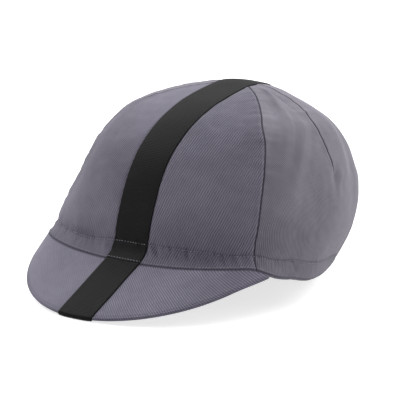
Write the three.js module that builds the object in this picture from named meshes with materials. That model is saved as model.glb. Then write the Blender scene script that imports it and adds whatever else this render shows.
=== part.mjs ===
import * as THREE from 'three';

// Soft cotton cap with a short drooping brim and a woven tape from front to back.
// Sizes are in millimetres. The wearer's left is +X, the front is -Y and up is +Z.
// The cap rests on Z = 0 on the back of its hem and on the front edge of its brim.

// Cloth, tape and clearance
const PANEL_CLOTH = 1.2;
const HEM_CLOTH = 1.0;
const HEM_TURN = 14.5;
const TAPE_CLOTH = 1.0;
const TAPE_WIDTH = 25;
const GAP = 0.3;

// Crown, measured from the ear line, which is Y = 0 until the cap is centred
const HEM_HALF_WIDTH = 83.5;
const HEM_FRONT_REACH = 84.5;
const HEM_REAR_REACH = 83;
const CROWN_HEIGHT = 123.2;
const APEX_SETBACK = 31.5;
const WIDEST_LEAD = 25;

// Brim: it leaves the hem straight forward and droops by an angle that grows towards its corners
const BRIM_LENGTH = 52.5;
const BRIM_THICKNESS = 2.0;
const BRIM_CORNER_ANGLE = 78;
const BRIM_EDGE_POWER = 1.62;
const BRIM_DROOP = 28.6;
const BRIM_CORNER_DROOP = 46;
const BRIM_CORNER_SHARE = 0.97;

const RADIANS = Math.PI / 180;
const BRIM_IN = Math.sin(BRIM_DROOP * RADIANS);
const BRIM_DOWN = Math.cos(BRIM_DROOP * RADIANS);

// The front of the hem stands as high as the brim holds it
const HEM_FRONT_HEIGHT = GAP + BRIM_LENGTH * BRIM_IN + BRIM_THICKNESS * BRIM_DOWN;

// Roundness of the hem's front: 2 is an ellipse, more is squarer, and it fades to 2 at the apex
const FRONT_ROUNDNESS_ALONG = 3.0;
const FRONT_ROUNDNESS_ACROSS = 2.4;

// Level sections from the hem to the apex. rise is a share of the height left above the hem line,
// front and rear are shares of the hem's reaches from the apex, side is a share of its half width,
// and round is the roundness of the rear half.
const SECTIONS = [
  { row: 0, rise: 0.0, front: 1.0, rear: 1.0, side: 1.0, round: 1.9 },
  { row: 1, rise: 0.085, front: 0.937, rear: 1.44, side: 0.953, round: 1.94 },
  { row: 2, rise: 0.22, front: 0.916, rear: 1.68, side: 0.955, round: 2.03 },
  { row: 3, rise: 0.42, front: 0.863, rear: 1.75, side: 0.916, round: 2.12 },
  { row: 4, rise: 0.62, front: 0.768, rear: 1.445, side: 0.88, round: 2.12 },
  { row: 5, rise: 0.8, front: 0.591, rear: 0.96, side: 0.786, round: 2.08 },
  { row: 6, rise: 0.92, front: 0.345, rear: 0.55, side: 0.53, round: 2.03 },
  { row: 7, rise: 0.98, front: 0.13, rear: 0.31, side: 0.24, round: 2.0 },
  { row: 8, rise: 1.0, front: 0.0, rear: 0.0, side: 0.0, round: 2.0 },
];
const APEX_ROW = SECTIONS.length - 1;

// Hem line: height by angle round from the front, as a share of the hem's front height.
// The back of the hem lies flat where the cap rests on it.
const HEM_LINE = [
  { angle: 0, lift: 1.0 },
  { angle: 60, lift: 1.115 },
  { angle: 85, lift: 0.83 },
  { angle: 105, lift: 0.54 },
  { angle: 125, lift: 0.46 },
  { angle: 145, lift: 0.15 },
  { angle: 162, lift: 0.0 },
  { angle: 180, lift: 0.0 },
];

// Seams of the left side, as the angle from the front at a row of the sections
const SIDE_SEAM = [
  { row: 0, angle: 67.5 },
  { row: 1.4, angle: 63.5 },
  { row: 3, angle: 61.5 },
  { row: 4.4, angle: 56 },
  { row: 5.3, angle: 50.5 },
  { row: 6.5, angle: 50.5 },
  { row: 8, angle: 44 },
];
const DART = [
  { row: 0, angle: 118 },
  { row: 3.6, angle: 103 },
  { row: 4.55, angle: 95 },
  { row: 5.3, angle: 90 },
  { row: 6, angle: 93.5 },
  { row: 6.55, angle: 97.5 },
  { row: 6.95, angle: 103 },
  { row: 7.4, angle: 118 },
  { row: 8, angle: 150 },
];
const DART_END_ROW = 3.6;
const DART_FADE_ROWS = 0.8;
const DART_HALF_WIDTH = 3;
const DART_DEPTH = 0.8;

// Soft folds and dents from one place on the crown to another, with angles signed to the left.
// breadth is a share of FOLD_BREADTH, and depth is a share of FOLD_DEPTH with ridges positive.
const FOLD_BREADTH = 12;
const FOLD_DEPTH = 2;
const FOLDS = [
  { angle: 73, row: 6.6, toAngle: 69, toRow: 5.6, breadth: 0.55, depth: 0.5 },
  { angle: 80, row: 5.4, toAngle: 79, toRow: 3.8, breadth: 0.6, depth: 0.35 },
  { angle: 92, row: 3.3, toAngle: 84, toRow: 0.9, breadth: 1.0, depth: -0.45 },
  { angle: 108, row: 5.4, toAngle: 112, toRow: 3.9, breadth: 0.8, depth: 0.5 },
  { angle: 122, row: 5.0, toAngle: 122, toRow: 2.8, breadth: 0.7, depth: -0.35 },
  { angle: 130, row: 4.4, toAngle: 127, toRow: 4.7, breadth: 0.7, depth: 0.4 },
  { angle: 134, row: 1.0, toAngle: 136, toRow: 2.2, breadth: 1.1, depth: 0.55 },
  { angle: -16, row: 1.0, toAngle: -38, toRow: 0.95, breadth: 0.6, depth: -0.4 },
  { angle: -70, row: 1.05, toAngle: -54, toRow: 1.1, breadth: 0.85, depth: 0.9 },
  { angle: -64, row: 2.7, toAngle: -52, toRow: 2.6, breadth: 0.8, depth: -0.4 },
  { angle: -38, row: 3.6, toAngle: -30, toRow: 1.9, breadth: 1.1, depth: 0.3 },
  { angle: -84, row: 4.6, toAngle: -78, toRow: 2.0, breadth: 1.0, depth: -0.5 },
  { angle: -112, row: 5.2, toAngle: -118, toRow: 2.8, breadth: 1.0, depth: 0.5 },
  { angle: 152, row: 4.2, toAngle: 146, toRow: 1.6, breadth: 1.0, depth: -0.4 },
  { angle: -150, row: 4.4, toAngle: -144, toRow: 1.8, breadth: 1.0, depth: -0.4 },
];

// Facets
const PANEL_ROWS = 20;
const PANEL_SPREAD = 1.3;
const PANEL_TOP_ROW = 7.8;
const FRONT_COLUMNS = 11;
const FRONT_SPREAD = 1.2;
const SIDE_COLUMNS = 5;
const BACK_COLUMNS = 9;
const HEM_ROWS = 4;
const TAPE_COLUMNS = 4;
const TAPE_ROWS = 56;
const BRIM_COLUMNS = 28;
const BRIM_ROWS = 6;

// Steps for directions and lengths on the crown, and the row above which its top counts as level
const ANGLE_STEP = 0.2;
const ROW_STEP = 0.01;
const DOMED_ROW = APEX_ROW - 0.1;
const HALVINGS = 40;
const WIDEST_ASIDE = 30;

const CLOTH_COLOUR = '#76717d';
const HEM_COLOUR = '#6b6672';
const TAPE_COLOUR = '#2c2c2e';
const CLOTH_ROUGHNESS = 0.92;
const TAPE_ROUGHNESS = 0.8;

const UP = new THREE.Vector3(0, 0, 1);
const LEFT = new THREE.Vector3(1, 0, 0);

// Monotone cubic curve through two columns of a table, which never overshoots a row
function curve(table, across, along, flatEnds = false) {
  const xs = table.map((entry) => entry[across]);
  const ys = table.map((entry) => entry[along]);
  const steps = xs.slice(1).map((x, i) => x - xs[i]);
  const rates = steps.map((step, i) => (ys[i + 1] - ys[i]) / step);
  const last = xs.length - 1;
  const endSlope = (near, far) => {
    if (flatEnds) return 0;
    const slope = ((2 * steps[near] + steps[far]) * rates[near] - steps[near] * rates[far])
      / (steps[near] + steps[far]);
    return slope * rates[near] > 0 ? slope : 0;
  };
  const slopes = xs.map((x, i) => {
    if (i === 0) return endSlope(0, 1);
    if (i === last) return endSlope(last - 1, last - 2);
    if (rates[i - 1] * rates[i] <= 0) return 0;
    const before = 2 * steps[i] + steps[i - 1];
    const after = steps[i] + 2 * steps[i - 1];
    return (before + after) / (before / rates[i - 1] + after / rates[i]);
  });
  return (x) => {
    let i = 0;
    while (i < last - 1 && x > xs[i + 1]) i += 1;
    const t = Math.min(Math.max((x - xs[i]) / steps[i], 0), 1);
    const rest = 1 - t;
    return ys[i] * rest * rest * (1 + 2 * t) + ys[i + 1] * t * t * (3 - 2 * t)
      + steps[i] * t * rest * (slopes[i] * rest - slopes[i + 1] * t);
  };
}

const riseAt = curve(SECTIONS, 'row', 'rise');
const frontAt = curve(SECTIONS, 'row', 'front');
const rearAt = curve(SECTIONS, 'row', 'rear');
const sideAt = curve(SECTIONS, 'row', 'side');
const roundAt = curve(SECTIONS, 'row', 'round');
const liftAt = curve(HEM_LINE, 'angle', 'lift', true);
const seamAt = curve(SIDE_SEAM, 'row', 'angle');
const dartAt = curve(DART, 'row', 'angle');

function mix(a, b, share) {
  return a + (b - a) * share;
}

function signedPower(value, power) {
  return Math.sign(value) * Math.abs(value) ** power;
}

// Point on the smooth outside of the crown, before folds
function crownForm(angle, row) {
  const rise = riseAt(row);
  const sine = Math.sin(angle * RADIANS);
  const cosine = Math.cos(angle * RADIANS);
  const ahead = cosine > 0;
  const along = ahead ? mix(FRONT_ROUNDNESS_ALONG, 2, rise) : roundAt(row);
  const across = ahead ? mix(FRONT_ROUNDNESS_ACROSS, 2, rise) : roundAt(row);
  const middle = mix(-WIDEST_LEAD, APEX_SETBACK, rise);
  const front = APEX_SETBACK - (HEM_FRONT_REACH + APEX_SETBACK) * frontAt(row);
  const rear = APEX_SETBACK + (HEM_REAR_REACH - APEX_SETBACK) * rearAt(row);
  const reach = ahead ? middle - front : rear - middle;
  const hem = HEM_FRONT_HEIGHT * liftAt(Math.abs(angle));
  return new THREE.Vector3(
    HEM_HALF_WIDTH * sideAt(row) * signedPower(sine, 2 / across),
    middle - reach * signedPower(cosine, 2 / along),
    mix(hem, CROWN_HEIGHT, rise),
  );
}


// Outward direction of the smooth crown
function crownNormal(angle, row) {
  if (row > DOMED_ROW) return UP.clone();
  const low = Math.max(row - ROW_STEP, 0);
  const round = crownForm(angle + ANGLE_STEP, row).sub(crownForm(angle - ANGLE_STEP, row));
  const upward = crownForm(angle, row + ROW_STEP).sub(crownForm(angle, low));
  return round.cross(upward).normalize();
}

// A step on the cloth laid out flat
function flatStep(angle, rows) {
  return new THREE.Vector2(angle * RADIANS * HEM_HALF_WIDTH, (rows * CROWN_HEIGHT) / APEX_ROW);
}

// Height of the folds above the smooth crown, from flat distances to each fold's line
function foldRelief(angle, row) {
  return FOLDS.reduce((sum, fold) => {
    const run = flatStep(fold.toAngle - fold.angle, fold.toRow - fold.row);
    const away = flatStep(angle - fold.angle, row - fold.row);
    const share = THREE.MathUtils.clamp(away.dot(run) / run.lengthSq(), 0, 1);
    const distance = away.addScaledVector(run, -share).length() / (fold.breadth * FOLD_BREADTH);
    return sum + fold.depth * FOLD_DEPTH * Math.exp(-distance * distance);
  }, 0);
}

// Point of the crown at a distance outside (positive) or inside (negative) of its outer face
function crownPoint(angle, row, distance) {
  const normal = crownNormal(angle, row);
  return crownForm(angle, row).addScaledVector(normal, distance + foldRelief(angle, row));
}

// Level direction out of the hem
function hemOutward(angle) {
  return crownNormal(angle, 0).setZ(0).normalize();
}

// The same at the hem, moved level so that the cloth ends in a flat edge of its true wall
function hemPoint(angle, distance) {
  const outward = hemOutward(angle);
  const level = crownNormal(angle, 0).dot(outward);
  return crownForm(angle, 0).addScaledVector(outward, distance / level);
}

function crownLayer(angle, row, distance) {
  return row > 0 ? crownPoint(angle, row, distance) : hemPoint(angle, distance);
}

// Angle at a distance round the crown from another angle
function angleAside(angle, row, distance) {
  const start = crownForm(angle, row);
  const sign = Math.sign(distance);
  let near = 0;
  let far = WIDEST_ASIDE;
  for (let halving = 0; halving < HALVINGS; halving += 1) {
    const middle = (near + far) / 2;
    const reached = crownForm(angle + sign * middle, row).distanceTo(start);
    if (reached < Math.abs(distance)) near = middle;
    else far = middle;
  }
  return angle + sign * near;
}

// Row at a distance up the crown from the hem
function rowAbove(angle, distance) {
  let row = 0;
  let left = distance;
  let place = crownForm(angle, 0);
  while (row < APEX_ROW) {
    const next = crownForm(angle, row + ROW_STEP);
    const step = next.distanceTo(place);
    if (step > left) break;
    left -= step;
    row += ROW_STEP;
    place = next;
  }
  return row + (ROW_STEP * left) / crownForm(angle, row + ROW_STEP).distanceTo(place);
}

// Closed solid between two grids of points with the same columns and rows. The outer grid faces
// out where its columns run to the right and its rows run up. A ring joins its two end columns.
function shell(outer, inner, ring = false) {
  const columns = outer.length;
  const rows = outer[0].length;
  const positions = [];
  [...outer, ...inner].forEach((column) => column.forEach((p) => positions.push(p.x, p.y, p.z)));
  const index = [];
  const at = (layer, i, j) => (layer * columns + (i % columns)) * rows + j;
  const quad = (a, b, c, d) => index.push(a, b, c, a, c, d);
  const spans = ring ? columns : columns - 1;
  for (let i = 0; i < spans; i += 1) {
    for (let j = 0; j < rows - 1; j += 1) {
      quad(at(0, i, j), at(0, i + 1, j), at(0, i + 1, j + 1), at(0, i, j + 1));
      quad(at(1, i, j), at(1, i, j + 1), at(1, i + 1, j + 1), at(1, i + 1, j));
    }
    quad(at(0, i, 0), at(1, i, 0), at(1, i + 1, 0), at(0, i + 1, 0));
    quad(at(0, i, rows - 1), at(0, i + 1, rows - 1), at(1, i + 1, rows - 1), at(1, i, rows - 1));
  }
  if (!ring) {
    const end = columns - 1;
    for (let j = 0; j < rows - 1; j += 1) {
      quad(at(0, 0, j), at(0, 0, j + 1), at(1, 0, j + 1), at(1, 0, j));
      quad(at(0, end, j), at(1, end, j), at(1, end, j + 1), at(0, end, j + 1));
    }
  }
  const geometry = new THREE.BufferGeometry();
  geometry.setAttribute('position', new THREE.Float32BufferAttribute(positions, 3));
  geometry.setIndex(index);
  geometry.computeVertexNormals();
  return geometry;
}

function grid(columns, rows, point) {
  return Array.from({ length: columns + 1 }, (unused, i) => (
    Array.from({ length: rows + 1 }, (same, j) => point(i, j))));
}

// Columns of one side, each as an angle by row: the front panel, then the back panel round its dart
function frontStations() {
  return Array.from({ length: FRONT_COLUMNS + 1 }, (unused, i) => (
    (row) => seamAt(row) * (i / FRONT_COLUMNS) ** FRONT_SPREAD));
}

function backStations() {
  const dartSide = (row, sign) => {
    const dart = dartAt(row);
    const room = sign < 0 ? dart - seamAt(row) : 180 - dart;
    const wide = Math.abs(angleAside(dart, row, sign * DART_HALF_WIDTH) - dart);
    return dart + sign * Math.min(wide, room / SIDE_COLUMNS);
  };
  const side = Array.from({ length: SIDE_COLUMNS + 1 }, (unused, i) => (
    (row) => mix(seamAt(row), dartSide(row, -1), i / SIDE_COLUMNS)));
  const back = Array.from({ length: BACK_COLUMNS + 1 }, (unused, i) => (
    (row) => mix(dartSide(row, 1), 180, i / BACK_COLUMNS)));
  return [...side, dartAt, ...back];
}

// Sink of the dart's seam line below the cloth beside it
function dartSink(row) {
  return DART_DEPTH * THREE.MathUtils.smoothstep(row, DART_END_ROW, DART_END_ROW + DART_FADE_ROWS);
}

function mirrored(stations) {
  return stations.map((station) => (row) => -station(row)).reverse();
}

const FRONT_STATIONS = frontStations();
const BACK_STATIONS = backStations();
const DART_COLUMN = SIDE_COLUMNS + 1;

function clothMaterial(colour, roughness) {
  return new THREE.MeshStandardMaterial({ color: colour, roughness, metalness: 0 });
}

function piece(name, geometry, material) {
  const mesh = new THREE.Mesh(geometry, material);
  mesh.name = name;
  return mesh;
}

// A crown panel: its first and last columns stand back from the seams by half the clearance
function panel(name, stations, sunkColumn) {
  const last = stations.length - 1;
  const layer = (distance) => grid(last, PANEL_ROWS, (i, j) => {
    const row = PANEL_TOP_ROW * (j / PANEL_ROWS) ** PANEL_SPREAD;
    let angle = stations[i](row);
    if (i === 0) angle = angleAside(angle, row, GAP / 2);
    if (i === last) angle = angleAside(angle, row, -GAP / 2);
    const sink = i === sunkColumn ? dartSink(row) : 0;
    return crownLayer(angle, row, distance - sink);
  });
  const geometry = shell(layer(0), layer(-PANEL_CLOTH));
  return piece(name, geometry, clothMaterial(CLOTH_COLOUR, CLOTH_ROUGHNESS));
}

// The turned-up layer inside the hem, a closed ring
function hemBand() {
  const half = [...FRONT_STATIONS, ...BACK_STATIONS.slice(1)];
  const around = [...half.slice(0, -1), ...mirrored(half).slice(0, -1)];
  const tops = around.map((station) => rowAbove(station(0), HEM_TURN));
  const layer = (distance) => grid(around.length - 1, HEM_ROWS, (i, j) => {
    const row = (tops[i] * j) / HEM_ROWS;
    return crownLayer(around[i](row), row, distance);
  });
  const outside = -PANEL_CLOTH - GAP;
  const geometry = shell(layer(outside), layer(outside - HEM_CLOTH), true);
  return piece('hem_band', geometry, clothMaterial(HEM_COLOUR, CLOTH_ROUGHNESS));
}

// Angle on one branch of a section where the crown stands at x, front and rear of its widest line
function angleAtSide(x, row, ahead) {
  let near = ahead ? 0 : 180;
  let far = 90;
  for (let halving = 0; halving < HALVINGS; halving += 1) {
    const middle = (near + far) / 2;
    if (crownForm(middle, row).x < Math.abs(x)) near = middle;
    else far = middle;
  }
  return (x < 0 ? -1 : 1) * near;
}

// Places of the tape's run at one side distance, from the front of the hem over the apex to its back.
// Each end stops where the tape's outer face stands clear above the hem line.
function tapeRun(x) {
  const clear = (angle, row) => {
    const foot = crownForm(angle, row).z + (GAP + TAPE_CLOTH) * Math.min(crownNormal(angle, row).z, 0);
    return foot > crownForm(angle, 0).z + GAP;
  };
  const branch = (ahead) => {
    const places = [];
    for (let row = 0; row < APEX_ROW; row += ROW_STEP) {
      const wide = crownForm(90, row).x;
      if (wide < Math.abs(x)) break;
      const angle = angleAtSide(x, row, ahead);
      if (clear(angle, row)) places.push({ angle, row, point: crownForm(angle, row) });
    }
    return places;
  };
  return [...branch(true), ...branch(false).reverse()];
}

// Even stations along a run of places
function evenly(places, count) {
  const lengths = places.map(() => 0);
  for (let i = 1; i < places.length; i += 1) {
    lengths[i] = lengths[i - 1] + places[i].point.distanceTo(places[i - 1].point);
  }
  const total = lengths[lengths.length - 1];
  let i = 1;
  return Array.from({ length: count + 1 }, (unused, k) => {
    const target = (total * k) / count;
    while (i < places.length - 1 && lengths[i] < target) i += 1;
    const share = (target - lengths[i - 1]) / (lengths[i] - lengths[i - 1]);
    return share < 0.5 ? places[i - 1] : places[i];
  });
}

function tapeSide(i) {
  return TAPE_WIDTH * (i / TAPE_COLUMNS - 0.5);
}

function crownTape() {
  const runs = Array.from({ length: TAPE_COLUMNS + 1 }, (unused, i) => (
    evenly(tapeRun(tapeSide(i)), TAPE_ROWS)));
  const layer = (distance) => grid(TAPE_COLUMNS, TAPE_ROWS, (i, j) => {
    const { angle, row } = runs[i][j];
    return crownForm(angle, row).addScaledVector(crownNormal(angle, row), distance);
  });
  const geometry = shell(layer(GAP + TAPE_CLOTH), layer(GAP));
  return piece('crown_tape', geometry, clothMaterial(TAPE_COLOUR, TAPE_ROUGHNESS));
}

function brimLength(angle) {
  return BRIM_LENGTH * (1 - Math.abs(angle / BRIM_CORNER_ANGLE) ** BRIM_EDGE_POWER);
}

// Forward and down along the brim's upper face
function brimRun(angle) {
  const droop = mix(BRIM_DROOP, BRIM_CORNER_DROOP, (angle / BRIM_CORNER_ANGLE) ** 2) * RADIANS;
  return new THREE.Vector3(0, -Math.cos(droop), -Math.sin(droop));
}

// Upper face of the brim, which starts just under the hem's outer edge
function brimTop(angle, distance) {
  return hemPoint(angle, 0).addScaledVector(UP, -GAP).addScaledVector(brimRun(angle), distance);
}

const BRIM_TUCK = PANEL_CLOTH + GAP + HEM_CLOTH;

// The brim: its root tucks in under the hem's layers, and its underside follows its upper face
function brim() {
  const angleOf = (i) => BRIM_CORNER_SHARE * BRIM_CORNER_ANGLE * (1 - (2 * i) / BRIM_COLUMNS);
  const inward = (angle, distance) => hemOutward(angle).multiplyScalar(-distance);
  const top = grid(BRIM_COLUMNS, BRIM_ROWS, (i, j) => {
    const angle = angleOf(i);
    if (j > 0) return brimTop(angle, (brimLength(angle) * (j - 1)) / (BRIM_ROWS - 1));
    return brimTop(angle, 0).add(inward(angle, BRIM_TUCK + BRIM_THICKNESS * BRIM_IN));
  });
  const bottom = grid(BRIM_COLUMNS, BRIM_ROWS, (i, j) => {
    const shift = j > 0 ? BRIM_THICKNESS * BRIM_IN : 0;
    const under = top[i][j].clone().add(inward(angleOf(i), shift));
    return under.addScaledVector(UP, -BRIM_THICKNESS * BRIM_DOWN);
  });
  return piece('brim', shell(top, bottom), clothMaterial(CLOTH_COLOUR, CLOTH_ROUGHNESS));
}

// The tape on the brim, which carries on the crown's from the hem to the brim's edge
function brimTape() {
  const angles = Array.from({ length: TAPE_COLUMNS + 1 }, (unused, i) => (
    angleAtSide(-tapeSide(i), 0, true)));
  const layer = (distance) => grid(TAPE_COLUMNS, BRIM_ROWS, (i, j) => {
    const angle = angles[i];
    const along = mix(GAP, brimLength(angle), j / BRIM_ROWS);
    const face = brimRun(angle).cross(LEFT);
    return brimTop(angle, along).addScaledVector(face, distance);
  });
  const geometry = shell(layer(GAP + TAPE_CLOTH), layer(GAP));
  return piece('brim_tape', geometry, clothMaterial(TAPE_COLOUR, TAPE_ROUGHNESS));
}

// The whole cap, moved so that the middle of its footprint is the origin and it rests on Z = 0
function cap() {
  const pieces = [
    panel('crown_front_left', FRONT_STATIONS),
    panel('crown_front_right', mirrored(FRONT_STATIONS)),
    panel('crown_rear_left', BACK_STATIONS, DART_COLUMN),
    panel('crown_rear_right', mirrored(BACK_STATIONS), BACK_STATIONS.length - 1 - DART_COLUMN),
    hemBand(),
    crownTape(),
    brim(),
    brimTape(),
  ];
  const group = new THREE.Group();
  group.add(...pieces);
  const box = new THREE.Box3().setFromObject(group);
  const centre = box.getCenter(new THREE.Vector3());
  pieces.forEach((mesh) => mesh.geometry.translate(-centre.x, -centre.y, -box.min.z));
  return group;
}

export default cap();
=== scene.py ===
"""Soft cotton cap with a short drooping brim and a woven tape from front to back.

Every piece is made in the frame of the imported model, in metres. The form's tables are in
millimetres and say the same as the solids: the wearer's left is +X, the front is -Y, up is +Z.
"""

import math

import bpy
import numpy as np
from bpy.props import FloatProperty, FloatVectorProperty, PointerProperty
from bpy.types import Operator, Panel, PropertyGroup
from mathutils import Matrix, Vector


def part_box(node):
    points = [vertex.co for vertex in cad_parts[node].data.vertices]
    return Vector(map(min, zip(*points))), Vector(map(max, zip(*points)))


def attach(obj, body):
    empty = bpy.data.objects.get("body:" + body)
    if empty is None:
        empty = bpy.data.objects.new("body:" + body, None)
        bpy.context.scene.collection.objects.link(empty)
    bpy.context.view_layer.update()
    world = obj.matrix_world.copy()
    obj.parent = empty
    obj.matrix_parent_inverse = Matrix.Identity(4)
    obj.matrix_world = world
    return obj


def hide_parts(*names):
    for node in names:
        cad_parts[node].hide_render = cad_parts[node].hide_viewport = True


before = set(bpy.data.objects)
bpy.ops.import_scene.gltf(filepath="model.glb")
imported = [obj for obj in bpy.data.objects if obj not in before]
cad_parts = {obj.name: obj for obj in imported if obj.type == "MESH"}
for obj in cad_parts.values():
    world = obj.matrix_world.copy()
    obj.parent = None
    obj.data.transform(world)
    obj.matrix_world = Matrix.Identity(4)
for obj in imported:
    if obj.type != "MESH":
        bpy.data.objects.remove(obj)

bl_info = {
    "name": "Soft Twill Cap",
    "version": (1, 0, 0),
    "blender": (4, 5, 0),
    "location": "View3D > Sidebar > Cap",
    "description": "Makes a soft cotton cap with a short brim, piece by piece",
    "category": "Object",
}

MM = 0.001

# Form of the crown
HEM_HALF_WIDTH = 83.5
HEM_FRONT_REACH = 84.5
HEM_REAR_REACH = 83.0
CROWN_HEIGHT = 123.2
APEX_SETBACK = 31.5
WIDEST_LEAD = 25.0
FRONT_ROUNDNESS_ALONG = 3.0
FRONT_ROUNDNESS_ACROSS = 2.4

# Form of the brim
BRIM_LENGTH = 52.5
BRIM_THICKNESS = 2.0
BRIM_ROUND = BRIM_THICKNESS / 2
BRIM_CORNER_ANGLE = 78.0
BRIM_EDGE_POWER = 1.62
BRIM_DROOP = 28.6
BRIM_CORNER_DROOP = 46.0
BRIM_CORNER_SHARE = 0.97
BRIM_STITCH_INSET = 2.4

# Cloth, tape and clearance
PANEL_CLOTH = 1.2
HEM_CLOTH = 1.0
HEM_TURN = 14.5
TAPE_WIDTH = 25.0
TAPE_LIFT = 0.5
TAPE_SINK = 0.4
GAP = 0.3

BRIM_IN = math.sin(math.radians(BRIM_DROOP))
BRIM_DOWN = math.cos(math.radians(BRIM_DROOP))
HEM_FRONT_HEIGHT = GAP + BRIM_LENGTH * BRIM_IN + BRIM_THICKNESS * BRIM_DOWN

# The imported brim's front edge tells how far the centred cap was moved along Y
BRIM_FRONT = HEM_FRONT_REACH + BRIM_LENGTH * BRIM_DOWN
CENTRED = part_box("brim")[0][1] / MM + BRIM_FRONT

# Sections from the hem to the apex: row, rise, front, rear, side, roundness of the rear half
SECTIONS = (
    (0, 0.0, 1.0, 1.0, 1.0, 1.9),
    (1, 0.085, 0.937, 1.44, 0.953, 1.94),
    (2, 0.22, 0.916, 1.68, 0.955, 2.03),
    (3, 0.42, 0.863, 1.75, 0.916, 2.12),
    (4, 0.62, 0.768, 1.445, 0.88, 2.12),
    (5, 0.8, 0.591, 0.96, 0.786, 2.08),
    (6, 0.92, 0.345, 0.55, 0.53, 2.03),
    (7, 0.98, 0.13, 0.31, 0.24, 2.0),
    (8, 1.0, 0.0, 0.0, 0.0, 2.0),
)
APEX_ROW = 8.0
PANEL_TOP_ROW = 7.8

# Height of the hem by angle from the front, as a share of its front height
HEM_LINE = (
    (0, 1.0), (60, 1.115), (85, 0.83), (105, 0.54), (125, 0.46), (145, 0.15), (162, 0.0),
    (180, 0.0),
)

# Angle of the side seam and of the dart by row, on the left
SIDE_SEAM = ((0, 67.5), (1.4, 63.5), (3, 61.5), (4.4, 56), (5.3, 50.5), (6.5, 50.5), (8, 44))
DART = (
    (0, 118), (3.6, 103), (4.55, 95), (5.3, 90), (6, 93.5), (6.55, 97.5), (6.95, 103),
    (7.4, 118), (8, 150),
)
DART_END_ROW = 3.6
DART_FADE_ROWS = 0.35

# Soft folds: angle, row, to angle, to row, breadth as a share of FOLD_BREADTH, depth of FOLD_DEPTH
FOLD_BREADTH = 12.0
FOLD_DEPTH = 2.0
FOLDS = (
    (73, 6.6, 69, 5.6, 0.55, 0.5),
    (80, 5.4, 79, 3.8, 0.6, 0.35),
    (92, 3.3, 84, 0.9, 1.0, -0.45),
    (108, 5.4, 112, 3.9, 0.8, 0.5),
    (122, 5.0, 122, 2.8, 0.7, -0.35),
    (130, 4.4, 127, 4.7, 0.7, 0.4),
    (134, 1.0, 136, 2.2, 1.1, 0.55),
    (-16, 1.0, -38, 0.95, 0.6, -0.4),
    (-70, 1.05, -54, 1.1, 0.85, 0.9),
    (-64, 2.7, -52, 2.6, 0.8, -0.4),
    (-38, 3.6, -30, 1.9, 1.1, 0.3),
    (-84, 4.6, -78, 2.0, 1.0, -0.5),
    (-112, 5.2, -118, 2.8, 1.0, 0.5),
    (152, 4.2, 146, 1.6, 1.0, -0.4),
    (-150, 4.4, -144, 1.8, 1.0, -0.4),
)

# Small creases that only the cloth shows, with the same columns
CREASES = (
    (103, 3.58, 104.5, 3.3, 0.2, -0.35),
    (103, 3.56, 99.5, 3.3, 0.22, -0.2),
    (104.5, 3.5, 109, 3.22, 0.22, -0.2),
    (101, 3.55, 102, 3.15, 0.25, 0.2),
    (107.5, 3.5, 107.5, 3.05, 0.25, 0.2),
    (-103, 3.58, -104.5, 3.3, 0.2, -0.3),
    (-103, 3.56, -99.5, 3.3, 0.22, -0.18),
    (72, 6.6, 67.5, 6.0, 0.3, 0.24),
    (67.5, 6.0, 70.5, 5.4, 0.35, 0.24),
    (80, 6.4, 81.5, 5.5, 0.4, -0.3),
    (60, 5.9, 58.5, 4.7, 0.35, -0.22),
    (66, 5.25, 69.5, 4.0, 0.28, 0.2),
    (73.5, 5.3, 74.5, 4.1, 0.22, -0.14),
    (80, 5.3, 79, 4.1, 0.25, 0.16),
    (86, 5.1, 87, 4.0, 0.3, -0.16),
    (108, 5.0, 113.5, 3.6, 0.3, 0.2),
    (118, 5.0, 122, 3.6, 0.3, -0.2),
    (127, 4.6, 126, 3.0, 0.3, 0.18),
    (-20, 1.05, -36, 0.75, 0.3, -0.2),
    (-30, 0.75, -54, 1.05, 0.3, 0.18),
    (-14, 0.7, -24, 0.9, 0.25, -0.14),
    (-45, 4.7, -53, 5.6, 0.5, 0.3),
    (-32, 4.3, -48, 3.7, 0.5, -0.3),
    (16, 0.95, 40, 0.8, 0.3, 0.12),
    (24, 1.2, 52, 1.1, 0.35, -0.12),
)

# Swell of the soft cloth, in millimetres: broad and fine
SWELL = 0.42
FINE_SWELL = 0.13

# Columns and rows of a panel's cloth between its seams, and seeds of the puckers at each seam
FRONT_GRID = (84, 132)
REAR_GRID = (150, 150)
MIDDLE_SEED, LEFT_SEED, RIGHT_SEED, BACK_SEED, DART_SEED = 1, 2, 3, 4, 31

# Rows of stitches: height above the hem's edge by angle to the left, and where the lower one ends
HEM_STITCH_ROW = (
    (-180, 12), (-105, 12), (-62, 9.6), (-24, 10.2), (0, 13.4), (30, 12.3), (52, 9.3), (72, 9.6),
    (105, 12), (180, 12),
)
EDGE_STITCH_ROW = 1.5
EDGE_STITCH_ANGLE = 74.0

# Strength of the hem's puckers by angle to the left
PUCKERED = (
    (-180, 0.4), (-75, 0.4), (-30, 0.5), (0, 0.9), (12, 1.3), (42, 1.3), (62, 0.7), (78, 0.3),
    (180, 0.3),
)

# Painted light and shade on each panel's cloth by row, and painted light on the cloth which faces
# back
PAINTED_LIGHT_BY_ROW_FRONT_LEFT = ((0.8, -0.12), (1.7, -0.1), (3.2, 0.08), (5.0, -0.15), (7.0, -0.1))
PAINTED_LIGHT_BY_ROW_FRONT_RIGHT = ((0.8, -0.02), (1.9, 0.02), (3.6, -0.16), (5.2, 0.06), (7.0, 0.1))
PAINTED_LIGHT_BY_ROW_REAR = ((0.8, -0.22), (2.2, -0.2), (3.8, -0.04), (5.5, 0.1), (7.0, 0.1))
PAINTED_BACK_LIGHT = 0.16

# Twill's colour at the dark and the light end of its weave, mottling and painted light and shade,
# and the rear panels' twill lightened as painted light
DARK_YARN_AND_PAINTED_SHADE = (0.45, 0.44, 0.465)
LIGHT_YARN_AND_PAINTED_LIGHT = (1.55, 1.57, 1.43)
REAR_PAINTED_LIGHT = (1.13, 1.13, 1.06)

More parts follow.
